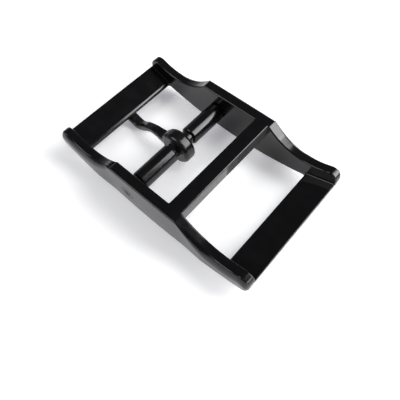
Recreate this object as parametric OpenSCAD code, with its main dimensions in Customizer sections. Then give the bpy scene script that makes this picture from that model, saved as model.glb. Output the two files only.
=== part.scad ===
// Belt buckle with a centre pin, two strap sleeves and a wrapped prong.
// The front face is the long curve at the bottom, the back is at the top.
// Units: millimetres, +Z up, X along the strap, Y across it.
// Origin: on the lowest line of the front face, in the middle of the frame.

/* [Strap] */
// width of the strap the buckle takes
strap_w = 35; // [30:0.5:40]
// side play of the strap between the rails
strap_play = 1; // [0.5:0.1:2]

/* [Frame] */
// overall length along the strap
frame_l = 72.2; // [70:0.2:76]
// height of the flat back above the lowest line of the front
frame_h = 14; // [13.5:0.1:15]
// thickness of each rail at its ends
rail_t = 2.9; // [2.4:0.1:4]
// extra outward bow of each rail at mid length
rail_bow = 0.4; // [0:0.1:1]
// radius of the curved front face along the strap
front_r = 110; // [100:1:140]
// length of the raised flat on the back of each rail
flat_l = 24.8; // [23:0.2:26]
// radius of the hollow scooped at each side of the raised flat
dip_r = 18; // [17:0.5:20]
// height of the lowest point of each scoop
dip_z = 9.3; // [9:0.1:10]
// radius of the rounded nose at each rail end
nose_r = 2.6; // [2:0.1:2.8]

/* [Bars] */
// width of the left end bar, the one the prong rests against
left_bar_w = 7.8; // [7:0.1:9]
// width of the right end bar
right_bar_w = 8.9; // [8:0.1:9.5]
// thickness of each end bar at its inner edge
end_bar_t = 1.6; // [1.3:0.1:2]
// thickness of each end bar at its outer edge
end_bar_edge_t = 2.2; // [1.8:0.1:2.6]
// distance of the middle bar from mid length
mid_bar_x = 9.6; // [9:0.1:10]
// width of the middle bar along the strap
mid_bar_w = 4.5; // [4:0.1:5]
// depth of the middle bar below the flat back
mid_bar_h = 4.6; // [4:0.1:5]

/* [Pin and sleeves] */
// distance of the pin from mid length
pin_x = -7; // [-8:0.1:-6.5]
// height of the pin axis
pin_z = 6.8; // [6.5:0.1:7.2]
// pin diameter
pin_d = 4.4; // [4:0.1:4.6]
// depth of the dished end of the pin
pin_dish = 0.25; // [0.1:0.05:0.4]
// sleeve outer diameter
sleeve_d = 5.9; // [5.8:0.1:6.2]
// length of each sleeve
sleeve_l = 13.3; // [12.5:0.1:13.5]
// how far the near sleeve has slid along the pin from its rail
sleeve_slide = 1.6; // [0.1:0.1:2]
// radius of the rounded sleeve ends
sleeve_round = 0.6; // [0.3:0.1:0.7]

/* [Prong] */
// outer diameter of the prong's eye
eye_d = 10.7; // [10:0.1:11]
// width of the eye along the pin
eye_w = 4.3; // [4:0.1:5]
// how far the eye has slid along the pin
eye_slide = 0.2; // [-0.3:0.1:0.4]
// width of the arm where it leaves the eye
root_w = 4.1; // [3.6:0.1:4.2]
// width of the arm at its neck
arm_w = 2.8; // [2.6:0.1:3.2]
// width of the arm just before its tip
tip_w = 3.7; // [3.2:0.1:4]
// thickness of the arm
arm_t = 2; // [1.8:0.1:2.1]
// sideways set of the tip
tip_lean = 0.9; // [0:0.1:1]
// distance of the tip from mid length
tip_x = -33.4; // [-34.5:0.1:-32]
// depth of the seam where the eye closes on the arm
seam_depth = 0.5; // [0.3:0.1:0.8]
// width of that seam
seam_w = 0.5; // [0.3:0.1:0.8]

/* [Hidden] */
$fn = 96;

// finish
BLACK_COAT = [0.07, 0.07, 0.08];
BLACK_PIN = [0.10, 0.10, 0.11];
BLACK_SATIN = [0.12, 0.12, 0.13];

// fits
run_clear = 0.05;      // radial clearance of a turning fit
sleeve_end_gap = 0.1;  // gap between a sleeve and the rail beside it
over = 1;              // how far a cutter runs past the face it cuts

// frame widths
inner_half = (strap_w + strap_play) / 2;
end_half = inner_half + rail_t;
mid_half = end_half + rail_bow;
bow_steps = 12;

// side shape of a rail
half_l = frame_l / 2;
flat_half = flat_l / 2;
dip_cz = dip_z + dip_r;
dip_cx = flat_half + sqrt(pow(dip_r, 2) - pow(dip_cz - frame_h, 2));
nose_cx = half_l - nose_r;
nose_cz = dip_cz - sqrt(pow(dip_r + nose_r, 2) - pow(nose_cx - dip_cx, 2));
crest_x = nose_cx - nose_r * (nose_cx - dip_cx) / (dip_r + nose_r);
crest_z = nose_cz + nose_r * (dip_cz - nose_cz) / (dip_r + nose_r);

// bars
left_in = half_l - left_bar_w;
right_in = half_l - right_bar_w;
mid_bar_x0 = mid_bar_x - mid_bar_w / 2;
mid_bar_x1 = mid_bar_x + mid_bar_w / 2;

// bores and lengths
pin_bore_d = pin_d;
sleeve_bore_d = pin_d + 2 * run_clear;
eye_bore_d = pin_d + 2 * run_clear;
eye_round = 0.8;
seam_angle = 38;       // seam's turn from the top of the eye toward the arm
pin_l = 2 * (mid_half - rail_bow * pow(pin_x / half_l, 2));

// arm of the prong: top line of its side shape, from the eye to the tip
arm_top = [
    [pin_x - 3, 9.2],
    [pin_x - 5, 7.7],
    [pin_x - 7.2, 7.0],
    [pin_x - 10, 6.7],
    [pin_x - 12.2, 6.1],
    [pin_x - 14.2, 5.1],
    [pin_x - 16, 3.8],
    [pin_x - 17.8, 2.85],
    [pin_x - 19.6, 2.6],
    [pin_x - 21.6, 3.05],
    [pin_x - 24, 3.8],
    [tip_x, 4.5]
];
arm_n = len(arm_top);
arm_root_t = 4;        // thickness where the arm leaves the eye
root_pts = 2;          // points of the arm over which it thins
root_l = 5;            // distance from the pin over which it stays wide
neck_l = 11;           // distance from the pin to the neck
tip_round_l = 2.4;     // length over which the tip narrows

// height of the front face at a distance from mid length
function front_z(x) = front_r - sqrt(pow(front_r, 2) - pow(x, 2));

// half width of the frame at a distance from mid length
function side_y(x) = mid_half - rail_bow * pow(x / half_l, 2);

// middle line of the arm, seen from above
function arm_y(x) = eye_slide + tip_lean * (pin_x - x) / (pin_x - tip_x);

// thickness of the arm at one of its points
function arm_depth(i) =
    i < root_pts ? arm_root_t + (arm_t - arm_root_t) * i / root_pts
                 : (i == arm_n - 1 ? arm_t * 0.6 : arm_t);

// side shape of a rail, drawn with X along the strap and Z upward
module rail_side() {
    difference() {
        intersection() {
            translate([0, front_r]) circle(r = front_r, $fn = 720);
            translate([-half_l, -over]) square([frame_l, frame_h + over]);
        }
        for (s = [-1, 1]) {
            translate([s * dip_cx, dip_cz]) circle(r = dip_r, $fn = 240);
            polygon([
                [s * crest_x, crest_z],
                [s * nose_cx, nose_cz],
                [s * (half_l + over), nose_cz],
                [s * (half_l + over), frame_h + over],
                [s * crest_x, frame_h + over]
            ]);
        }
    }
    for (s = [-1, 1]) translate([s * nose_cx, nose_cz]) circle(r = nose_r);
}

// outline of the frame seen from above
module frame_plan() {
    polygon(concat(
        [for (i = [-bow_steps : bow_steps])
            let (x = half_l * i / bow_steps) [x, -side_y(x)]],
        [for (i = [-bow_steps : bow_steps])
            let (x = -half_l * i / bow_steps) [x, side_y(x)]]
    ));
}

// side shape cut away above an end bar
module end_bar_relief(s, x_in) {
    z_in = front_z(x_in) + end_bar_t;
    z_out = front_z(half_l) + end_bar_edge_t;
    rise = over * (z_out - z_in) / (half_l - x_in);
    polygon([
        [s * (x_in - over), z_in - rise],
        [s * (half_l + over), z_out + rise],
        [s * (half_l + over), frame_h + over],
        [s * (x_in - over), frame_h + over]
    ]);
}

// a side shape given depth across the frame, centred on it
module across(w) {
    translate([0, w / 2, 0]) rotate([90, 0, 0]) linear_extrude(w) children();
}

// one casting: two rails, two end bars and the middle bar
module frame() {
    color(BLACK_COAT)
    difference() {
        intersection() {
            across(2 * mid_half + 2 * over) rail_side();
            translate([0, 0, -over])
                linear_extrude(frame_h + 2 * over) frame_plan();
        }
        // space above each end bar
        across(2 * inner_half) end_bar_relief(-1, left_in);
        across(2 * inner_half) end_bar_relief(1, right_in);
        // opening between the left end bar and the middle bar
        translate([-left_in, -inner_half, -over])
            cube([left_in + mid_bar_x0, 2 * inner_half, frame_h + 2 * over]);
        // opening between the middle bar and the right end bar
        translate([mid_bar_x1, -inner_half, -over])
            cube([right_in - mid_bar_x1, 2 * inner_half, frame_h + 2 * over]);
        // strap way in front of the middle bar
        translate([mid_bar_x0 - over, -inner_half, -over])
            cube([mid_bar_w + 2 * over, 2 * inner_half,
                  frame_h - mid_bar_h + over]);
        // bore for the pin through both rails
        translate([pin_x, 0, pin_z]) rotate([90, 0, 0])
            cylinder(d = pin_bore_d, h = 2 * (mid_half + over), center = true);
    }
}

// through pin, its ends flush with the rails and lightly dished
module pin() {
    color(BLACK_PIN)
    translate([pin_x, 0, pin_z]) rotate([90, 0, 0])
    difference() {
        cylinder(d = pin_d, h = pin_l, center = true);
        for (s = [-1, 1]) translate([0, 0, s * pin_l / 2])
            cylinder(d = pin_d / 2, h = 2 * pin_dish, center = true);
    }
}

// half section of a tube with rounded outer corners, r across, y along
module tube_section(bore, outer, l, round_r) {
    difference() {
        translate([bore / 2, 0]) square([(outer - bore) / 2, l]);
        for (end = [0, 1]) translate([outer / 2 - round_r, end * l])
            mirror([0, end]) difference() {
                translate([0, -over]) square([round_r + over, round_r + over]);
                translate([0, round_r]) circle(r = round_r, $fn = 48);
            }
    }
}

// sleeve the strap folds round, starting at y and running to y + its length
module sleeve(y) {
    color(BLACK_COAT)
    translate([pin_x, y, pin_z]) rotate([-90, 0, 0])
        rotate_extrude()
            tube_section(sleeve_bore_d, sleeve_d, sleeve_l, sleeve_round);
}

// sleeve on the near side of the prong
module sleeve_near() { sleeve(sleeve_slide - inner_half); }

// sleeve on the far side of the prong
module sleeve_far() { sleeve(inner_half - sleeve_end_gap - sleeve_l); }

// side shape of the prong's arm
module arm_side() {
    polygon(concat(
        arm_top,
        [for (i = [arm_n - 1 : -1 : 0])
            [arm_top[i][0], arm_top[i][1] - arm_depth(i)]]
    ));
}

// outline of the arm seen from above, with a narrowed round tip
module arm_plan() {
    y_tip = eye_slide + tip_lean;
    y_root = arm_y(pin_x - root_l);
    y_neck = arm_y(pin_x - neck_l);
    polygon([
        [pin_x - neck_l, y_neck - arm_w / 2],
        [pin_x - root_l, y_root - root_w / 2],
        [pin_x, eye_slide - root_w / 2], [pin_x, eye_slide + root_w / 2],
        [pin_x - root_l, y_root + root_w / 2],
        [pin_x - neck_l, y_neck + arm_w / 2],
        [tip_x + tip_round_l, y_tip + tip_w / 2],
        [tip_x + tip_round_l * 0.35, y_tip + tip_w * 0.4],
        [tip_x, y_tip + tip_w * 0.2], [tip_x, y_tip - tip_w * 0.2],
        [tip_x + tip_round_l * 0.35, y_tip - tip_w * 0.4],
        [tip_x + tip_round_l, y_tip - tip_w / 2]
    ]);
}

// prong: an eye wrapped round the pin and an arm reaching under the left bar
module prong() {
    color(BLACK_SATIN)
    difference() {
        union() {
            translate([pin_x, eye_slide - eye_w / 2, pin_z]) rotate([-90, 0, 0])
                rotate_extrude()
                    tube_section(eye_bore_d, eye_d, eye_w, eye_round);
            intersection() {
                across(2 * eye_w) arm_side();
                linear_extrude(frame_h) arm_plan();
            }
        }
        translate([pin_x, 0, pin_z]) rotate([90, 0, 0])
            cylinder(d = eye_bore_d, h = 2 * eye_w, center = true);
        // seam where the wrapped end meets the arm
        translate([pin_x, 0, pin_z]) rotate([0, -seam_angle, 0])
            translate([-seam_w / 2, -eye_w, eye_d / 2 - seam_depth])
                cube([seam_w, 2 * eye_w, seam_depth + over]);
    }
}

frame();
pin();
sleeve_near();
sleeve_far();
prong();
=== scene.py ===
"""Belt buckle lying on its curved front face, back up, on a white studio table.

The cast frame, the through pin, the two strap sleeves and the prong are each
built here as a detailed piece that stands for the CAD node of the same name.
Meshes are worked out in millimetres and scaled to metres as the last step.
"""

import logging
import math
from dataclasses import dataclass, field
from enum import Enum

import bmesh
import bpy
from mathutils import Matrix, Vector


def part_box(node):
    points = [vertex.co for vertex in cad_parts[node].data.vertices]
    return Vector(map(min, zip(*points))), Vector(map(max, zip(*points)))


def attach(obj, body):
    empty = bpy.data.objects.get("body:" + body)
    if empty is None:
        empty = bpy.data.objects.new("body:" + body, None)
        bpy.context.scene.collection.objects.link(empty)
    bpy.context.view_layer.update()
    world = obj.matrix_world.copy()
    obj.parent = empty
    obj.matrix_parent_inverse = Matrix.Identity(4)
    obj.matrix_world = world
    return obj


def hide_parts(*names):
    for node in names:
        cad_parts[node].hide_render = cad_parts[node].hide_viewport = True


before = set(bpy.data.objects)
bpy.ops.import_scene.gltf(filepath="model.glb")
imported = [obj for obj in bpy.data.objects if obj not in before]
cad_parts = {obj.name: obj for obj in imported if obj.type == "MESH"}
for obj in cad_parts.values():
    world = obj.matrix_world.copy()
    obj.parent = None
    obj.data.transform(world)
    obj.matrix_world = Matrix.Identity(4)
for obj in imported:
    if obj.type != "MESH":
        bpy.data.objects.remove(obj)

LOG = logging.getLogger("buckle")
MM = 0.001
SAME_POINT = 1e-5  # mm, two corners closer than this are one
NEAR = 0.01  # mm, places closer than this are on the same line
PIN_R = 2.2  # mm
LOOSE_BORE_R = 2.25  # mm, bore of what turns on the pin
SHARP = math.radians(24)  # folds sharper than this are edges of the casting
FLAT = math.radians(0.05)  # panels that meet at less than this are one

Point = tuple[float, float, float]


# ---------------------------------------------------------------- small tools


def linear(hex_colour: str, alpha: float = 1.0) -> tuple[float, ...]:
    """Turns an sRGB hex colour into linear light.

    Args:
        hex_colour: six hex digits with a leading #.
        alpha: opacity to carry along.

    Returns:
        Linear red, green and blue, then alpha.
    """
    parts = []
    for at in (1, 3, 5):
        value = int(hex_colour[at:at + 2], 16) / 255
        low = value <= 0.04045
        parts.append(value / 12.92 if low else ((value + 0.055) / 1.055) ** 2.4)
    return (*parts, alpha)


def add_node(
    tree: bpy.types.NodeTree,
    kind: str,
    settings: dict | None = None,
    links: dict | None = None,
) -> bpy.types.Node:
    """Adds one node with its settings and links.

    Args:
        tree: node tree that takes the node.
        kind: the node's type name.
        settings: input sockets or properties by name, with their values.
        links: input sockets by name or number, with the sockets that feed them.

    Returns:
        The new node.
    """
    made = tree.nodes.new(kind)
    for name, value in (settings or {}).items():
        if hasattr(made, str(name)):
            setattr(made, name, value)
        else:
            made.inputs[name].default_value = value
    for name, source in (links or {}).items():
        tree.links.new(source, made.inputs[name])
    return made


def per_mm(size_mm: float) -> float:
    """Texture scale that gives a pattern of that size on a piece in metres."""
    return 1 / (size_mm * MM)


def middle_mm(node: str) -> tuple[float, ...]:
    """Middle of a CAD node's box at rest, in millimetres."""
    low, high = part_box(node)
    return tuple(round((a + b) / 2 / MM, 3) for a, b in zip(low, high))


PIN_X, _, PIN_Z = middle_mm("sleeve_near")  # axis of the pin, which the sleeves share


def object_from(bm: bmesh.types.BMesh, name: str) -> bpy.types.Object:
    """Makes an object from a bmesh and frees the bmesh.

    Args:
        bm: the mesh being built, in millimetres.
        name: name of the object and its mesh.

    Returns:
        The object, linked to the scene.
    """
    mesh = bpy.data.meshes.new(name)
    bm.to_mesh(mesh)
    bm.free()
    made = bpy.data.objects.new(name, mesh)
    bpy.context.scene.collection.objects.link(made)
    return made


def bake(obj: bpy.types.Object) -> None:
    """Applies an object's modifiers to its mesh.

    Args:
        obj: the object, whose modifiers are used up.
    """
    bpy.context.view_layer.update()
    graph = bpy.context.evaluated_depsgraph_get()
    baked = bpy.data.meshes.new_from_object(obj.evaluated_get(graph), depsgraph=graph)
    obj.modifiers.clear()
    old, obj.data = obj.data, baked
    name = old.name
    bpy.data.meshes.remove(old)
    baked.name = name


def add_modifier(obj: bpy.types.Object, kind: str, **settings: object) -> None:
    """Adds a modifier to an object.

    Args:
        obj: the object that takes it.
        kind: the modifier's type name.
        settings: its properties by name, with their values.
    """
    made = obj.modifiers.new(kind.title(), kind)
    for name, value in settings.items():
        setattr(made, name, value)


def cut(obj: bpy.types.Object, tool: bpy.types.Object) -> None:
    """Cuts a tool's shape out of an object and removes the tool.

    Args:
        obj: the object that is cut.
        tool: closed object that is taken away from it.
    """
    add_modifier(obj, "BOOLEAN", operation="DIFFERENCE", object=tool, solver="EXACT")
    bake(obj)
    bpy.data.objects.remove(tool)


def smooth_shaded(obj: bpy.types.Object) -> None:
    """Shades every face of an object smooth."""
    obj.data.polygons.foreach_set("use_smooth", [True] * len(obj.data.polygons))
    obj.data.update()


def level_shaded(obj: bpy.types.Object) -> None:
    """Shades an object smooth, with its large faces kept level.

    Args:
        obj: the object, whose modifiers are used up.
    """
    smooth_shaded(obj)
    add_modifier(
        obj, "WEIGHTED_NORMAL", mode="FACE_AREA", weight=60, keep_sharp=False
    )
    bake(obj)


def hand_over(
    obj: bpy.types.Object, node_name: str, body: str,
    material: bpy.types.Material,
) -> bpy.types.Object:
    """Scales a finished piece to metres, dresses it and joins it to its body.

    Args:
        obj: the piece, in millimetres.
        node_name: CAD node it stands for.
        body: CAD body it moves with.
        material: its finish.

    Returns:
        The same object.
    """
    obj.data.transform(Matrix.Scale(MM, 4))
    obj.data.materials.clear()
    obj.data.materials.append(material)
    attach(obj, body)
    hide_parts(node_name)
    LOG.info("%s: %d faces", obj.name, len(obj.data.polygons))
    return obj


def turned(profile: list[tuple[float, float]], steps: int) -> bmesh.types.BMesh:
    """Turns a closed profile round the Y axis.

    Args:
        profile: (radius, y) corners of the section, in order. A corner on the
            axis has radius 0.
        steps: number of faces round the axis.

    Returns:
        A closed mesh.
    """
    bm = bmesh.new()
    rings = []
    for radius, y in profile:
        if radius == 0:
            rings.append([bm.verts.new((0, y, 0))] * steps)
            continue
        turns = [2 * math.pi * i / steps for i in range(steps)]
        rings.append([
            bm.verts.new((radius * math.cos(a), y, radius * math.sin(a)))
            for a in turns
        ])
    closed = profile[0][0] > 0 and profile[-1][0] > 0
    pairs = list(zip(rings, rings[1:])) + ([(rings[-1], rings[0])] if closed else [])
    for low, high in pairs:
        for i in range(steps):
            j = (i + 1) % steps
            corners = list(dict.fromkeys((low[i], low[j], high[j], high[i])))
            if len(corners) > 2:
                bm.faces.new(corners)
    bmesh.ops.recalc_face_normals(bm, faces=bm.faces)
    return bm


def arc(
    centre: tuple[float, float], radius: float, start: float, end: float, steps: int
) -> list[tuple[float, float]]:
    """Points along an arc.

    Args:
        centre: the arc's centre.
        radius: its radius.
        start: first angle, in radians.
        end: last angle, in radians.
        steps: number of pieces it is cut in.

    Returns:
        steps + 1 points from start to end.
    """
    angles = [start + (end - start) * i / steps for i in range(steps + 1)]
    return [
        (centre[0] + radius * math.cos(a), centre[1] + radius * math.sin(a))
        for a in angles
    ]


class Shell:
    """Closed shell made of flat panels that share corners."""

    def __init__(self) -> None:
        """Starts an empty shell."""
        self.corners: dict[Point, int] = {}
        self.panels: list[list[int]] = []

    def corner(self, point: Point) -> int:
        """Number of the corner at a point, new or already there."""
        key = tuple(round(value / SAME_POINT) * SAME_POINT for value in point)
        return self.corners.setdefault(key, len(self.corners))

    def panel(self, *points: Point) -> None:
        """Adds one panel.

        Args:
            points: its corners in order. Corners that fall together are one.
        """
        ring = [self.corner(point) for point in points]
        ring = [c for i, c in enumerate(ring) if c != ring[i - 1]]
        if len(ring) > 2:
            self.panels.append(ring)

    def to_bmesh(self) -> bmesh.types.BMesh:
        """Joins the panels into one closed mesh.

        Returns:
            The mesh. Where a corner of one panel lies on the side of another,
            the other panel takes it in, so no gap is left.
        """
        places = [Vector(point) for point in self.corners]
        split: dict[tuple[int, int], list[int]] = {}
        bm = bmesh.new()
        verts = [bm.verts.new(place) for place in places]
        for ring in self.panels:
            full: list[int] = []
            for start, end in zip(ring, ring[1:] + ring[:1]):
                pair = (min(start, end), max(start, end))
                if pair not in split:
                    split[pair] = self._between(places, *pair)
                inner = split[pair]
                full.append(start)
                full += inner if pair[0] == start else inner[::-1]
            bm.faces.new([verts[c] for c in full])
        bmesh.ops.recalc_face_normals(bm, faces=bm.faces)
        return bm

    @staticmethod
    def _between(places: list[Vector], start: int, end: int) -> list[int]:
        """Finds the corners that lie on the line between two others.

        Args:
            places: places of all corners.
            start: number of the first of the two.
            end: number of the second.

        Returns:
            Their numbers, in order from start to end.
        """
        a, b = places[start], places[end]
        line = b - a
        found = []
        for index, place in enumerate(places):
            if index in (start, end):
                continue
            along = (place - a).dot(line) / line.length_squared
            inside = SAME_POINT < along < 1 - SAME_POINT
            if inside and (a + line * along - place).length < 4 * SAME_POINT:
                found.append((along, index))
        return [index for _, index in sorted(found)]


# ------------------------------------------------------------------- finishes


@dataclass(frozen=True)
class StovedEnamel:
    """Black stoving enamel on cast or drawn metal.

    A hard, level, nearly black film. It mirrors the room at low angles and
    goes very dark where it is seen straight on.
    """

    name: str
    colour: str = "#0b0b0c"
    worn_colour: str = "#0f0f10"
    roughness: float = 0.13
    rubbed_roughness: float = 0.2
    peel_mm: float = 0.9  # spacing of the film's orange peel
    peel_depth_mm: float = 0.0022
    wave_mm: float = 7.0  # slow waviness left by the mould and the polishing
    wave_depth_mm: float = 0.012
    rub_mm: float = 3.5  # spacing of the patches dulled by handling
    worn_from: float = 0.42  # level of that pattern at which the wear starts
    worn_full: float = 0.72  # and at which it is complete

    def material(self) -> bpy.types.Material:
        """Builds the finish.

        Returns:
            A node material.
        """
        made = bpy.data.materials.new(self.name)
        made.use_nodes = True
        tree = made.node_tree
        tree.nodes.clear()
        place = add_node(tree, "ShaderNodeTexCoord").outputs["Object"]
        rub = add_node(
            tree, "ShaderNodeTexNoise",
            {"Scale": per_mm(self.rub_mm), "Detail": 5, "Roughness": 0.62},
            {"Vector": place},
        ).outputs["Fac"]
        worn = add_node(
            tree, "ShaderNodeMapRange",
            {"From Min": self.worn_from, "From Max": self.worn_full},
            {"Value": rub},
        ).outputs["Result"]
        tint = add_node(tree, "ShaderNodeValToRGB", links={"Fac": worn})
        tint.color_ramp.elements[0].color = linear(self.colour)
        tint.color_ramp.elements[1].color = linear(self.worn_colour)
        rough = add_node(
            tree, "ShaderNodeMapRange",
            {"To Min": self.roughness, "To Max": self.rubbed_roughness},
            {"Value": worn},
        ).outputs["Result"]
        wave = add_node(
            tree, "ShaderNodeTexNoise",
            {"Scale": per_mm(self.wave_mm), "Detail": 1},
            {"Vector": place},
        ).outputs["Fac"]
        peel = add_node(
            tree, "ShaderNodeTexNoise",
            {"Scale": per_mm(self.peel_mm), "Detail": 2},
            {"Vector": place},
        ).outputs["Fac"]
        slow = add_node(
            tree, "ShaderNodeBump",
            {"Strength": 1.0, "Distance": self.wave_depth_mm * MM},
            {"Height": wave},
        ).outputs["Normal"]
        fine = add_node(
            tree, "ShaderNodeBump",
            {"Strength": 1.0, "Distance": self.peel_depth_mm * MM},
            {"Height": peel, "Normal": slow},
        ).outputs["Normal"]
        film = add_node(
            tree, "ShaderNodeBsdfPrincipled",
            {"Metallic": 0.0, "IOR": 1.45},
            {"Base Color": tint.outputs["Color"], "Roughness": rough, "Normal": fine},
        )
        add_node(
            tree, "ShaderNodeOutputMaterial", links={"Surface": film.outputs["BSDF"]}
        )
        return made


@dataclass(frozen=True)
class WhiteAcrylic:
    """Opal acrylic sheet, cast and polished.

    Lit softly from below. A bright, even white with weak shadows that still
    carries a faint soft reflection.
    """

    name: str = "opal_acrylic_table"
    colour: str = "#f4f4f2"
    glow_colour: str = "#f4f4fc"  # the lamps under the sheet, a little cool
    glow: float = 0.3
    roughness: float = 0.32
    roughness_spread: float = 0.03
    mottle_mm: float = 60.0

    def material(self) -> bpy.types.Material:
        """Builds the finish.

        Returns:
            A node material.
        """
        made = bpy.data.materials.new(self.name)
        made.use_nodes = True
        tree = made.node_tree
        tree.nodes.clear()
        place = add_node(tree, "ShaderNodeTexCoord").outputs["Object"]
        mottle = add_node(
            tree, "ShaderNodeTexNoise",
            {"Scale": per_mm(self.mottle_mm), "Detail": 2},
            {"Vector": place},
        ).outputs["Fac"]
        rough = add_node(
            tree, "ShaderNodeMapRange",
            {
                "To Min": self.roughness - self.roughness_spread,
                "To Max": self.roughness + self.roughness_spread,
            },
            {"Value": mottle},
        ).outputs["Result"]
        sheet = add_node(
            tree, "ShaderNodeBsdfPrincipled",
            {
                "Base Color": linear(self.colour), "IOR": 1.49,
                "Emission Color": linear(self.glow_colour),
                "Emission Strength": self.glow,
            },
            {"Roughness": rough},
        )
        add_node(
            tree, "ShaderNodeOutputMaterial", links={"Surface": sheet.outputs["BSDF"]}
        )
        return made


# --------------------------------------------------------------- cast frame


class Fillet(Enum):
    """Radius of each kind of rounded edge on the casting, in millimetres."""

    OUTSIDE = 0.42
    RIM = 0.16
    INSIDE = 0.5
    WINDOW_CORNER = 0.9
    BAR_EDGE = 0.7
    BORE_RIM = 0.16


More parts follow.
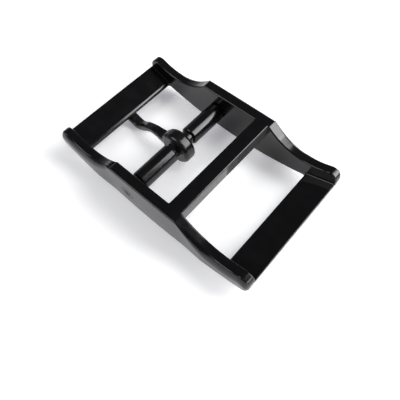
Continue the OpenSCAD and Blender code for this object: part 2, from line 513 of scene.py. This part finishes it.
@dataclass
class CastFrame:
    """The casting: two long rails, two end bars and the middle bar."""

    half_l: float = 36.1
    height: float = 14.0
    inner_half: float = 18.0
    end_half: float = 20.9
    bow: float = 0.4
    end_swell: float = 0.6  # the pillowed ends stand proud by this
    front_r: float = 110.0
    flat_half: float = 12.4
    dip_r: float = 18.0
    dip_z: float = 9.3
    nose_r: float = 2.6
    left_in: float = 28.3
    right_in: float = 27.2
    bar_t_in: float = 1.6
    bar_t_out: float = 2.2
    mid_x0: float = 7.35
    mid_x1: float = 11.85
    mid_depth: float = 4.6
    pin_x: float = PIN_X
    pin_z: float = PIN_Z
    bore_r: float = PIN_R  # the pin is pressed in
    rim_r_first: dict[int, float] = field(
        default_factory=lambda: {-1: 1.1, 1: 0.4}
    )  # edge rounding beside the raised flat, near rail and far rail
    rim_r_far: float = 3.7  # and toward the rail's ends
    rim_run_near: float = 2.6  # length over which the first one grows
    rim_run_far: float = 10.0  # length over which it turns into the second
    rim_turn_far: float = 44.0  # degrees the rounding still turns at the ends
    rim_steps: int = 5
    foot_r_mid: float = 0.6  # rounding toward the front face at mid length
    foot_r_end: float = 1.5  # and at the rail's ends
    foot_turn: float = 72.0  # degrees it turns before it meets the front
    side_use: float = 0.95  # share of a side's height both may take together
    step_l: float = 0.34  # length, each way, over which flat and scoop blend
    step_steps: int = 5
    corner_r: float = 1.3  # rounding of a rail's end, seen from above
    dip_steps: int = 30
    nose_steps: int = 16
    flat_step: float = 2.0
    clear: float = 1.0  # length kept free of extra corners beside a feature
    bore_steps: int = 64
    finish: StovedEnamel = field(
        default_factory=lambda: StovedEnamel("stoved_black_enamel_on_zinc")
    )

    def front_z(self, x: float) -> float:
        """Height of the curved front face at a distance from mid length."""
        return self.front_r - math.sqrt(self.front_r ** 2 - x ** 2)

    def side_y(self, x: float) -> float:
        """Works out how wide the rails stand.

        Args:
            x: distance from mid length.

        Returns:
            Half the width over both rails there.
        """
        past = min(max(abs(x) - self.flat_half, 0.0) / self.rim_run_far, 1.0)
        swell = self.end_swell * past ** 2 * (3 - 2 * past)
        into_corner = max(abs(x) - (self.half_l - self.corner_r), 0.0)
        last = min(into_corner / self.corner_r, 1.0)
        drawn_in = self.corner_r * (1 - math.sqrt(1 - last ** 2))
        width = self.end_half + self.bow * (1 - (x / self.half_l) ** 2)
        return width + swell - drawn_in

    def rim(self, x: float, side: int) -> list[tuple[float, float]]:
        """Rounded outer edge of a rail's back at x.

        Args:
            x: distance from mid length.
            side: -1 for the near rail, 1 for the far one.

        Returns:
            (how far inside the side face, how far below the back) of each
            corner, from the back down to the side face.
        """
        past = max(abs(x) - self.flat_half, 0.0)
        first = self.rim_r_first[side]
        radius = first * min(past / self.rim_run_near, 1.0)
        share = min(max(past - self.rim_run_near, 0.0) / self.rim_run_far, 1.0)
        radius += (self.rim_r_far - first) * share
        start = math.radians(90 + (self.rim_turn_far - 90) * share)
        return [
            (radius * (1 - math.cos(start * (1 - k / self.rim_steps))),
             radius * (math.sin(start) - math.sin(start * (1 - k / self.rim_steps))))
            for k in range(self.rim_steps + 1)
        ]

    def outer_line(self, x: float, top: float, side: int) -> list[tuple[float, float]]:
        """Section of a rail's outer side at x.

        Args:
            x: distance from mid length.
            top: height of the back there.
            side: -1 for the near rail, 1 for the far one.

        Returns:
            (half width, height) from the back down to the front face. Both
            roundings shrink together where the side is too low for them.
        """
        low, wide = self.front_z(x), self.side_y(x)
        rim = self.rim(x, side)
        share = min(abs(x) / self.half_l, 1.0) ** 2
        foot_r = self.foot_r_mid + (self.foot_r_end - self.foot_r_mid) * share
        foot = foot_r * math.sin(math.radians(self.foot_turn))
        fit = min(self.side_use * (top - low) / (rim[-1][1] + foot), 1.0)
        line = [(wide - fit * inside, top - fit * below) for inside, below in rim]
        for k in range(self.rim_steps + 1):
            turn = math.radians(self.foot_turn) * k / self.rim_steps
            inside = foot_r * (1 - math.cos(turn))
            above = foot - foot_r * math.sin(turn)
            line.append((wide - fit * inside, low + fit * above))
        return line

    def bar_z(self, x: float) -> float:
        """Works out the height of an end bar's sloping back.

        Args:
            x: distance from mid length, negative for the left bar.

        Returns:
            The height there.
        """
        x_in = self.left_in if x < 0 else self.right_in
        low = self.front_z(x_in) + self.bar_t_in
        high = self.front_z(self.half_l) + self.bar_t_out
        return low + (high - low) * (abs(x) - x_in) / (self.half_l - x_in)

    def back_line(self) -> list[tuple[float, float]]:
        """Outline of a rail's back, from end to end.

        Returns:
            (x, z) corners: nose, scoop, flat, scoop, nose, with a corner at
            every place where a bar starts.
        """
        dip_cz = self.dip_z + self.dip_r
        dip_cx = self.flat_half + math.sqrt(
            self.dip_r ** 2 - (dip_cz - self.height) ** 2
        )
        nose_cx = self.half_l - self.nose_r
        nose_cz = dip_cz - math.sqrt(
            (self.dip_r + self.nose_r) ** 2 - (nose_cx - dip_cx) ** 2
        )
        rim = math.atan2(self.height - dip_cz, self.flat_half - dip_cx)
        join = math.atan2(nose_cz - dip_cz, nose_cx - dip_cx)
        scoop = arc((dip_cx, dip_cz), self.dip_r, rim, join, self.dip_steps)
        nose = arc((nose_cx, nose_cz), self.nose_r, join + math.pi, 0, self.nose_steps)
        half = scoop[1:] + nose[1:]
        starts = [-self.left_in, self.mid_x0, self.mid_x1, self.right_in]
        edges = starts + [-self.flat_half, self.flat_half]
        line = [(-x, z) for x, z in half] + half
        count = round(2 * self.flat_half / self.flat_step)
        line += [
            (-self.flat_half + 2 * self.flat_half * i / count, self.height)
            for i in range(1, count)
        ]
        near = self.clear
        line = [p for p in line if all(abs(p[0] - x) > near for x in edges)]
        clear_of_bore = self.bore_r + near / 2
        line = [p for p in line if abs(p[0] - self.pin_x) > clear_of_bore]
        for x in starts:
            on_flat = abs(x) <= self.flat_half
            z = self.height if on_flat else dip_cz - math.sqrt(
                self.dip_r ** 2 - (abs(x) - dip_cx) ** 2
            )
            line.append((x, z))
        steep = rim + math.pi / 2
        for k in range(self.step_steps + 1):
            u = k / self.step_steps
            before, after = self.step_l * (1 - u) ** 2, self.step_l * u ** 2
            x = self.flat_half - before + after * math.cos(steep)
            z = self.height + after * math.sin(steep)
            line += [(-x, z), (x, z)]
        return sorted(line)

    def _strips(
        self, line: list[tuple[float, float]]
    ) -> list[list[tuple[float, float]]]:
        """Groups the outline's steps so that no strip is shorter than a rounding.

        Args:
            line: outline of a rail's back.

        Returns:
            Lists of neighbouring corners. The fine steps of a blend, and those
            at a nose's end, share one strip.
        """
        strips: list[list[tuple[float, float]]] = []
        last = 0
        for start, end in zip(line, line[1:]):
            middle = (start[0] + end[0]) / 2
            side = 1 if middle > 0 else -1
            in_blend = abs(abs(middle) - self.flat_half) < self.step_l
            at_end = abs(middle) > self.half_l - self.clear
            zone = side if in_blend else 2 * side if at_end else 0
            if zone and zone == last:
                strips[-1].append(end)
            else:
                strips.append([start, end])
            last = zone
        return strips

    def _rail_panels(self, made: Shell, strip: list[tuple[float, float]]) -> None:
        """Adds both rails' panels along one strip.

        Args:
            made: shell that takes them.
            strip: corners of the outline that the strip holds.
        """
        (x0, _), (x1, _) = strip[0], strip[-1]
        middle = (x0 + x1) / 2
        low = [(x, self.front_z(x)) for x in (x0, x1)]
        bottoms, tops = low, strip
        if middle < -self.left_in or middle > self.right_in:
            bottoms = [(x, self.bar_z(x)) for x in (x0, x1)]
        if self.mid_x0 < middle < self.mid_x1:
            tops = [(x, self.height - self.mid_depth) for x, _ in strip]
        for s in (-1, 1):
            i = s * self.inner_half
            sides = [
                [(x, s * y, z) for y, z in self.outer_line(x, top, s)]
                for x, top in strip
            ]
            for (xa, ta), (xb, tb), a, b in zip(strip, strip[1:], sides, sides[1:]):
                made.panel(a[0], b[0], (xb, i, tb), (xa, i, ta))
                for a0, b0, b1, a1 in zip(a, b, b[1:], a[1:]):
                    made.panel(a0, b0, b1, a1)
            made.panel(
                (x0, i, low[0][1]), *[side[-1] for side in sides], (x1, i, low[1][1])
            )
            made.panel(
                *[(x, i, z) for x, z in bottoms], *[(x, i, z) for x, z in tops[::-1]]
            )

    def shell(self) -> Shell:
        """Lays out the panels of the casting.

        Returns:
            The closed shell, with sharp edges.
        """
        made = Shell()
        line = self.back_line()
        w = self.inner_half
        for strip in self._strips(line):
            self._rail_panels(made, strip)
            x0, x1 = strip[0][0], strip[-1][0]
            middle = (x0 + x1) / 2
            heights: list[tuple[float, float]] = []
            if middle < -self.left_in or middle > self.right_in:
                heights.append((self.front_z(x0), self.front_z(x1)))
                heights.append((self.bar_z(x0), self.bar_z(x1)))
            if self.mid_x0 < middle < self.mid_x1:
                heights += [(z, z) for z in (self.height, self.height - self.mid_depth)]
            for z0, z1 in heights:
                made.panel((x0, -w, z0), (x1, -w, z1), (x1, w, z1), (x0, w, z0))
        self._cross_walls(made, line)
        return made

    def _cross_walls(self, made: Shell, line: list[tuple[float, float]]) -> None:
        """Adds the walls that face along the strap.

        Args:
            made: shell that takes them.
            line: outline of a rail's back.
        """
        w = self.inner_half
        for x, top in (line[0], line[-1]):
            low, bar = self.front_z(x), self.bar_z(x)
            for s in (-1, 1):
                side = [(x, s * y, z) for y, z in self.outer_line(x, top, s)]
                made.panel((x, s * w, top), *side, (x, s * w, low), (x, s * w, bar))
            made.panel((x, -w, low), (x, w, low), (x, w, bar), (x, -w, bar))
        for x in (-self.left_in, self.right_in):
            low, bar = self.front_z(x), self.bar_z(x)
            made.panel((x, -w, low), (x, w, low), (x, w, bar), (x, -w, bar))
        for x in (self.mid_x0, self.mid_x1):
            low, high = self.height - self.mid_depth, self.height
            made.panel((x, -w, low), (x, w, low), (x, w, high), (x, -w, high))

    def _is_seam(self, edge: bmesh.types.BMEdge) -> bool:
        """Finds lines between level panels that would get in a rounding's way.

        Args:
            edge: an edge between two panels.

        Returns:
            True on the rails' inner walls and the raised flat, away from the
            bore.
        """
        if edge.calc_face_angle(math.pi) > FLAT:
            return False
        a, b = (v.co for v in edge.verts)
        upright = abs(a.x - b.x) < NEAR
        on_wall = all(abs(abs(end.y) - self.inner_half) < NEAR for end in (a, b))
        on_top = min(a.z, b.z) > self.height - NEAR
        clear_of_bore = abs((a.x + b.x) / 2 - self.pin_x) > 2 * self.bore_r
        return clear_of_bore and (on_top or (on_wall and upright))

    def fillet_of(self, edge: bmesh.types.BMEdge) -> float:
        """Radius an edge of the casting gets, 0 where it stays as it is.

        Args:
            edge: an edge between two panels.

        Returns:
            The radius in millimetres.
        """
        fold = edge.calc_face_angle(0) if len(edge.link_faces) == 2 else 0.0
        if fold < SHARP:
            return 0.0
        a, b = (v.co for v in edge.verts)
        middle = (a + b) / 2
        at_end = min(abs(a.x), abs(b.x)) > self.half_l - NEAR
        if at_end and abs(middle.y) > self.inner_half + NEAR:
            return 0.0
        from_bore = math.hypot(middle.x - self.pin_x, middle.z - self.pin_z)
        if abs(from_bore - self.bore_r) < 10 * NEAR:
            return Fillet.BORE_RIM.value if abs(a.y - b.y) < 5 * NEAR else 0.0
        if edge.is_convex:
            grown = min((fold - SHARP) / SHARP, 1.0)
            kind = Fillet.OUTSIDE
            across = abs(a.x - b.x) < NEAR and abs(a.z - b.z) < NEAR
            at_left_bar = abs(middle.x + self.left_in) < NEAR
            if across and at_left_bar and middle.z > self.bar_t_in:
                kind = Fillet.BAR_EDGE
            past_flat = abs(middle.x) > self.flat_half + self.rim_run_near
            if past_flat and abs(middle.y) > self.inner_half + 1:
                kind = Fillet.RIM
            return kind.value * grown
        if abs(middle.x - self.mid_x1) < NEAR:
            return 0.0
        upright = abs(a.z - b.z) > abs(a.x - b.x)
        at_end_bar = abs(middle.x) > 2 * self.flat_half
        corner = upright and at_end_bar
        return (Fillet.WINDOW_CORNER if corner else Fillet.INSIDE).value

    def build(self) -> bpy.types.Object:
        """Builds and dresses the casting.

        Returns:
            The finished piece.
        """
        whole = self.shell().to_bmesh()
        seams = [edge for edge in whole.edges if self._is_seam(edge)]
        bmesh.ops.dissolve_edges(whole, edges=seams, use_verts=True)
        made = object_from(whole, "cast_frame")
        reach = self.half_l  # well past both rails
        drill = turned(
            [(0, -reach), (self.bore_r, -reach), (self.bore_r, reach), (0, reach)],
            self.bore_steps,
        )
        bmesh.ops.translate(drill, verts=drill.verts, vec=(self.pin_x, 0, self.pin_z))
        cut(made, object_from(drill, "drill"))
        bm = bmesh.new()
        bm.from_mesh(made.data)
        weight = bm.edges.layers.float.new("bevel_weight_edge")
        widest = max(f.value for f in Fillet)
        for edge in bm.edges:
            edge[weight] = self.fillet_of(edge) / widest
        bm.to_mesh(made.data)
        bm.free()
        add_modifier(
            made, "BEVEL", width=widest, segments=4, limit_method="WEIGHT",
            profile=0.5, use_clamp_overlap=False, miter_outer="MITER_SHARP",
        )
        bake(made)
        level_shaded(made)
        return hand_over(made, "frame", "base", self.finish.material())


# ----------------------------------------------------------- pin and sleeves


@dataclass
class Pin:
    """Through pin, pressed in both rails, its ends dished by the riveting."""

    x: float = PIN_X
    z: float = PIN_Z
    radius: float = PIN_R
    half_l: float = 21.28
    dish_r: float = 1.1
    dish_depth: float = 0.25
    dish_form: tuple[tuple[float, float], ...] = (
        (0.0, 1.0), (0.6, 0.9), (1.0, 0.3), (1.2, 0.0),
    )  # shares of the dish's radius and depth, from its middle out
    rim: float = 0.18
    rim_steps: int = 4
    steps: int = 72
    finish: StovedEnamel = field(
        default_factory=lambda: StovedEnamel(
            "blackened_steel_rod", colour="#0d0d0e", worn_colour="#1b1b1c",
            roughness=0.2, rubbed_roughness=0.34, peel_mm=0.5,
        )
    )

    def build(self) -> bpy.types.Object:
        """Builds and dresses the pin.

        Returns:
            The finished piece.
        """
        r, h = self.radius, self.half_l
        end = [
            (self.dish_r * out, h - self.dish_depth * deep)
            for out, deep in self.dish_form
        ]
        rim_at = (r - self.rim, h - self.rim)
        end += arc(rim_at, self.rim, math.pi / 2, 0, self.rim_steps)
        profile = [(radius, -y) for radius, y in end] + end[::-1]
        bm = turned(profile, self.steps)
        bmesh.ops.translate(bm, verts=bm.verts, vec=(self.x, 0, self.z))
        made = object_from(bm, "through_pin")
        smooth_shaded(made)
        return hand_over(made, "pin", "base", self.finish.material())


@dataclass
class Sleeve:
    """Tube on the pin that the strap folds round."""

    side: str
    x: float = PIN_X
    z: float = PIN_Z
    bore_r: float = LOOSE_BORE_R
    radius: float = 2.95
    rounding: float = 0.6
    round_steps: int = 7
    bore_rim: float = 0.08
    steps: int = 96
    finish: StovedEnamel = field(
        default_factory=lambda: StovedEnamel(
            "stoved_black_enamel_on_drawn_tube", roughness=0.14,
            rubbed_roughness=0.22, wave_depth_mm=0.006,
        )
    )

    def build(self) -> bpy.types.Object:
        """Builds and dresses the sleeve.

        Returns:
            The finished piece.
        """
        node = f"sleeve_{self.side}"
        start, end = (round(corner.y / MM, 3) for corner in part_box(node))
        r, b, q, n = self.radius, self.bore_r, self.rounding, end - start
        rim = self.bore_rim
        profile = [(b, rim), (b + rim, 0.0)]
        profile += arc((r - q, q), q, -math.pi / 2, 0, self.round_steps)
        profile += arc((r - q, n - q), q, 0, math.pi / 2, self.round_steps)
        profile += [(b + rim, n), (b, n - rim)]
        bm = turned(profile, self.steps)
        bmesh.ops.translate(bm, verts=bm.verts, vec=(self.x, start, self.z))
        made = object_from(bm, f"strap_{node}")
        level_shaded(made)
        return hand_over(made, node, node, self.finish.material())


# --------------------------------------------------------------------- prong


@dataclass
class Prong:
    """Formed prong, with an eye wrapped round the pin and a curved arm."""

    pin_x: float = PIN_X
    pin_z: float = PIN_Z
    eye_r: float = 5.35
    bore_r: float = LOOSE_BORE_R
    eye_w: float = 4.3
    eye_y: float = 0.2
    eye_round: float = 1.2
    eye_round_steps: int = 8
    eye_rim: float = 0.2  # broken edge round the bore
    eye_steps: int = 96
    widths: tuple[tuple[float, float], ...] = (
        (3.0, 3.9), (5.0, 3.8), (7.0, 3.5), (9.0, 3.1), (12.0, 2.8), (16.0, 3.1),
        (20.0, 3.5), (27.0, 3.7),
    )  # distance from the pin and width of the arm there
    tip_x: float = -33.4
    tip_y: float = 1.1
    arm_t: float = 2.0
    arm_square: float = 0.42  # 1 gives an oval section, less a squarer one
    arm_corners: int = 24
    tip_l: float = 2.6  # length over which the tip narrows
    tip_square: float = 2.4  # 2 gives a round tip, more a squarer one
    tip_least: float = 0.12  # share of the width left at the very end, squared
    tip_inside: float = 0.15  # the last station stops this far short
    tip_t: float = 0.62  # thickness of the tip, as a share of the arm's
    seam_turn: float = math.radians(38)
    seam_w: float = 0.45
    seam_depth: float = 0.55
    lip_turn: float = math.radians(70)  # where the wrapped end lands on the arm
    lip_r: float = 0.75
    lip_out: float = 4.95  # its distance from the pin
    lip_inside: float = 0.4  # it ends this far inside the eye's side faces
    lip_end: float = 0.6  # length of its rounded ends, as a share of lip_r
    lip_end_steps: int = 4
    lip_steps: int = 24
    grain: float = 0.12  # voxel size of the blended form
    softening: int = 5  # passes that soften where the forms join
    finish: StovedEnamel = field(
        default_factory=lambda: StovedEnamel(
            "satin_black_oxide_on_formed_steel", colour="#0c0c0d",
            worn_colour="#161616", roughness=0.19, rubbed_roughness=0.3,
            peel_mm=0.5, peel_depth_mm=0.005, wave_mm=2.6, wave_depth_mm=0.035,
        )
    )

    def spine(self) -> list[tuple[float, float, float]]:
        """Line of the arm from inside the eye to its tip.

        Returns:
            (distance from the pin, height of the top, thickness) of each
            station.
        """
        t = self.arm_t
        return [
            (3.0, 9.2, 4.0), (5.0, 7.7, 3.0), (7.2, 7.0, 2.2), (10.0, 6.7, t),
            (12.2, 6.1, t), (14.2, 5.1, t), (16.0, 3.8, t), (17.8, 2.85, t),
            (19.6, 2.6, t), (21.6, 3.05, t), (24.0, 3.8, t),
            (self.pin_x - self.tip_x - self.tip_inside, 4.45, t * self.tip_t),
        ]

    def stations(self, per_piece: int = 6) -> list[tuple[float, float, float]]:
        """Smooths the spine.

        Args:
            per_piece: stations made between two given ones.

        Returns:
            The denser list of stations.
        """
        given = self.spine()
        made = []
        last = len(given) - 1
        for i in range(last):
            p0, p1 = given[max(i - 1, 0)], given[i]
            p2, p3 = given[i + 1], given[min(i + 2, last)]
            for k in range(per_piece):
                u = k / per_piece
                made.append(tuple(
                    0.5 * (
                        2 * b + (c - a) * u + (2 * a - 5 * b + 4 * c - d) * u ** 2
                        + (3 * b - a - 3 * c + d) * u ** 3
                    )
                    for a, b, c, d in zip(p0, p1, p2, p3)
                ))
        return made + [given[-1]]

    def width_at(self, run: float) -> float:
        """Works out the width of the arm.

        Args:
            run: distance from the pin.

        Returns:
            The width there.
        """
        for (r0, w0), (r1, w1) in zip(self.widths, self.widths[1:]):
            if run <= r1:
                u = max(run - r0, 0.0) / (r1 - r0)
                return w0 + (w1 - w0) * u * u * (3 - 2 * u)
        return self.widths[-1][1]

    def arm(self) -> bmesh.types.BMesh:
        """Sweeps the arm's rounded section along its spine.

        Returns:
            A closed mesh that starts inside the eye.
        """
        bm = bmesh.new()
        stations = self.stations()
        reach = self.pin_x - self.tip_x
        rings = []
        for i, (run, top, thick) in enumerate(stations):
            ahead = stations[min(i + 1, len(stations) - 1)]
            behind = stations[max(i - 1, 0)]
            slope = math.atan2(
                (ahead[1] - ahead[2] / 2) - (behind[1] - behind[2] / 2),
                ahead[0] - behind[0],
            )
            share = run / reach
            width = self.width_at(run)
            left = max(reach - run, 0.0)
            if left < self.tip_l:
                taper = 1 - (1 - left / self.tip_l) ** self.tip_square
                width *= math.sqrt(max(taper, self.tip_least))
            y = self.eye_y + (self.tip_y - self.eye_y) * share
            centre = Vector((self.pin_x - run, y, top - thick / 2))
            up = Vector((math.sin(slope), 0, math.cos(slope)))
            ring = []
            for k in range(self.arm_corners):
                a = 2 * math.pi * k / self.arm_corners
                ca, sa = math.cos(a), math.sin(a)
                across = math.copysign(abs(ca) ** self.arm_square, ca) * width / 2
                high = math.copysign(abs(sa) ** self.arm_square, sa) * thick / 2
                ring.append(bm.verts.new(centre + Vector((0, across, 0)) + up * high))
            rings.append(ring)
        for low, high in zip(rings, rings[1:]):
            for k in range(self.arm_corners):
                j = (k + 1) % self.arm_corners
                bm.faces.new((low[k], low[j], high[j], high[k]))
        bm.faces.new(rings[0])
        bm.faces.new(rings[-1])
        bmesh.ops.recalc_face_normals(bm, faces=bm.faces)
        return bm

    def eye(self) -> bmesh.types.BMesh:
        """Turns the eye.

        Returns:
            A closed ring with rounded outer edges.
        """
        r, b, q = self.eye_r, self.bore_r, self.eye_round
        h = self.eye_w / 2
        rim = self.eye_rim
        profile = [(b, -h + rim), (b + rim, -h)]
        profile += arc((r - q, -h + q), q, -math.pi / 2, 0, self.eye_round_steps)
        profile += arc((r - q, h - q), q, 0, math.pi / 2, self.eye_round_steps)
        profile += [(b + rim, h), (b, h - rim)]
        bm = turned(profile, self.eye_steps)
        bmesh.ops.translate(
            bm, verts=bm.verts, vec=(self.pin_x, self.eye_y, self.pin_z)
        )
        return bm

    def lip(self) -> bmesh.types.BMesh:
        """Turns the rounded end of the wrapped strip, lying across the arm.

        Returns:
            A closed rounded bar along the pin.
        """
        h, r = self.eye_w / 2 - self.lip_inside, self.lip_r
        end = r * self.lip_end
        profile = arc((0, -h + end), end, -math.pi / 2, 0, self.lip_end_steps)
        profile = [(radius * r / end, y) for radius, y in profile]
        profile = [(0, profile[0][1])] + profile[1:]
        other_half = [(radius, -y) for radius, y in profile[::-1]]
        bm = turned(profile + other_half, self.lip_steps)
        bmesh.ops.translate(
            bm, verts=bm.verts,
            vec=(
                self.pin_x - self.lip_out * math.sin(self.lip_turn), self.eye_y,
                self.pin_z + self.lip_out * math.cos(self.lip_turn),
            ),
        )
        return bm

    def build(self) -> bpy.types.Object:
        """Builds and dresses the prong.

        Returns:
            The finished piece.
        """
        made = object_from(self.eye(), "formed_prong")
        joined = bmesh.new()
        joined.from_mesh(made.data)
        for part in (object_from(self.arm(), "arm"), object_from(self.lip(), "lip")):
            joined.from_mesh(part.data)
            bpy.data.objects.remove(part)
        joined.to_mesh(made.data)
        joined.free()
        seam = bmesh.new()
        bmesh.ops.create_cube(seam, size=1)
        bmesh.ops.scale(
            seam, verts=seam.verts,
            vec=(self.seam_w, 2 * self.eye_w, 2 * self.seam_depth),
        )
        bmesh.ops.translate(seam, verts=seam.verts, vec=(0, 0, self.eye_r))
        bmesh.ops.rotate(
            seam, verts=seam.verts, matrix=Matrix.Rotation(-self.seam_turn, 3, "Y")
        )
        bmesh.ops.translate(
            seam, verts=seam.verts, vec=(self.pin_x, self.eye_y, self.pin_z)
        )
        add_modifier(made, "REMESH", mode="VOXEL", voxel_size=self.grain)
        bake(made)
        cut(made, object_from(seam, "seam"))
        add_modifier(made, "REMESH", mode="VOXEL", voxel_size=self.grain)
        add_modifier(made, "SMOOTH", factor=0.5, iterations=self.softening)
        bake(made)
        smooth_shaded(made)
        return hand_over(made, "prong", "prong", self.finish.material())


# -------------------------------------------------------------------- studio


@dataclass(frozen=True)
class SoftBox:
    """One soft light of the studio."""

    name: str
    towards: Point  # direction from the buckle to the light
    distance: float
    width: float
    depth: float
    watts: float
    colour: str = "#ffffff"
    mirrored: bool = True  # False keeps it out of the gloss

    def build(self, target: Vector) -> None:
        """Hangs the light.

        Args:
            target: point it faces, in metres.
        """
        data = bpy.data.lights.new(self.name, "AREA")
        data.shape = "RECTANGLE"
        data.size, data.size_y = self.width, self.depth
        data.energy = self.watts
        data.color = linear(self.colour)[:3]
        made = bpy.data.objects.new(self.name, data)
        away = Vector(self.towards).normalized()
        made.location = target + away * self.distance
        across = (Vector((0, 1, 0)) - away * away.y).normalized()
        turn = Matrix((across.cross(away), across, away)).transposed()
        made.rotation_euler = turn.to_euler()
        made.visible_glossy = self.mirrored
        bpy.context.scene.collection.objects.link(made)


@dataclass
class Studio:
    """White table, soft lights, a dim room and the camera."""

    table_half: float = 3.0
    mid_z: float = 7.0  # height of the buckle's middle, which the lights face
    room_far: str = "#b8bac1"
    room_near: str = "#6a6b70"
    room_high: str = "#48484b"
    room_strength: float = 1.0
    walls_end: float = 0.06  # upward part of a direction that leaves the walls
    ceiling_starts: float = 0.42  # and of one that meets only the ceiling
    near_ends: float = -0.9  # part toward the far side that leaves the near tone
    far_starts: float = 0.1  # and that meets only the far one
    camera_mm: Point = (44.86, -43.47, 99.64)
    looks_at_mm: Point = (11.43, -10.67, 10.0)
    roll: float = math.radians(-4.4)
    focal: float = 33.68
    lights: tuple[SoftBox, ...] = (
        SoftBox("high_panel", (0.42, 0.45, 0.79), 0.7, 0.26, 0.23, 1.45),
        SoftBox("low_panel", (0.70, 0.50, 0.51), 0.7, 0.34, 0.25, 2.8),
        SoftBox("front_left_box", (-0.45, -0.6, 0.66), 0.8, 0.40, 0.40, 2.4),
        SoftBox("side_strip", (0.93, 0.2, 0.3), 0.7, 0.16, 0.5, 1.3),
        SoftBox("overhead_fill", (-0.1, 0.2, 0.97), 1.0, 1.5, 1.5, 3.2, mirrored=False),
        SoftBox("back_fill", (0.3, 0.7, 0.65), 0.8, 0.5, 0.5, 1.5, mirrored=False),
    )

    def build_table(self) -> None:
        """Lays the table that the buckle rests on."""
        bm = bmesh.new()
        bmesh.ops.create_grid(bm, x_segments=8, y_segments=8, size=self.table_half)
        made = object_from(bm, "table")
        made.data.materials.append(WhiteAcrylic().material())

    def build_room(self) -> None:
        """Makes the room: pale walls low down, a darker ceiling."""
        world = bpy.data.worlds.new("studio_room")
        world.use_nodes = True
        tree = world.node_tree
        tree.nodes.clear()
        way = add_node(tree, "ShaderNodeTexCoord").outputs["Generated"]
        split = add_node(tree, "ShaderNodeSeparateXYZ", links={"Vector": way})
        climb = add_node(
            tree, "ShaderNodeMapRange",
            {"From Min": self.walls_end, "From Max": self.ceiling_starts},
            {"Value": split.outputs["Z"]},
        ).outputs["Result"]
        across = add_node(
            tree, "ShaderNodeMapRange",
            {"From Min": self.near_ends, "From Max": self.far_starts},
            {"Value": split.outputs["Y"]},
        ).outputs["Result"]
        walls = add_node(tree, "ShaderNodeValToRGB", links={"Fac": across})
        walls.color_ramp.elements[0].color = linear(self.room_near)
        walls.color_ramp.elements[1].color = linear(self.room_far)
        tone = add_node(
            tree, "ShaderNodeMix", {"data_type": "RGBA"},
            {0: climb, 6: walls.outputs["Color"]},
        )
        tone.inputs[7].default_value = linear(self.room_high)
        glow = add_node(
            tree, "ShaderNodeBackground", {"Strength": self.room_strength},
            {"Color": tone.outputs[2]},
        )
        add_node(
            tree, "ShaderNodeOutputWorld", links={"Surface": glow.outputs["Background"]}
        )
        bpy.context.scene.world = world

    def build_camera(self) -> None:
        """Sets the camera, raised and a little rolled."""
        data = bpy.data.cameras.new("camera")
        data.lens = self.focal
        data.sensor_width = 36.0
        data.clip_start, data.clip_end = 0.005, 20.0
        made = bpy.data.objects.new("camera", data)
        made.location = Vector(self.camera_mm) * MM
        sight = Vector(self.looks_at_mm) - Vector(self.camera_mm)
        facing = sight.to_track_quat("-Z", "Y").to_matrix().to_4x4()
        spin = Matrix.Rotation(self.roll, 4, "Z")
        made.rotation_euler = (facing @ spin).to_euler()
        bpy.context.scene.collection.objects.link(made)
        bpy.context.scene.camera = made

    def build(self) -> None:
        """Builds the whole studio."""
        self.build_table()
        self.build_room()
        for light in self.lights:
            light.build(Vector((0, 0, self.mid_z)) * MM)
        self.build_camera()
        bpy.context.scene.view_settings.view_transform = "Standard"
        LOG.info("studio: %d lights", len(self.lights))


def corners(box: tuple[Vector, Vector]) -> list[list[float]]:
    """A box's two corners as plain lists."""
    return [list(box[0]), list(box[1])]


def main() -> None:
    """Builds every piece in order, then the studio."""
    logging.basicConfig(level=logging.INFO, format="%(name)s: %(message)s")
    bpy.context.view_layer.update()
    CastFrame().build()
    Pin().build()
    for side in ("near", "far"):
        Sleeve(side).build()
    Prong().build()
    Studio().build()


if __name__ == "__main__":
    main()
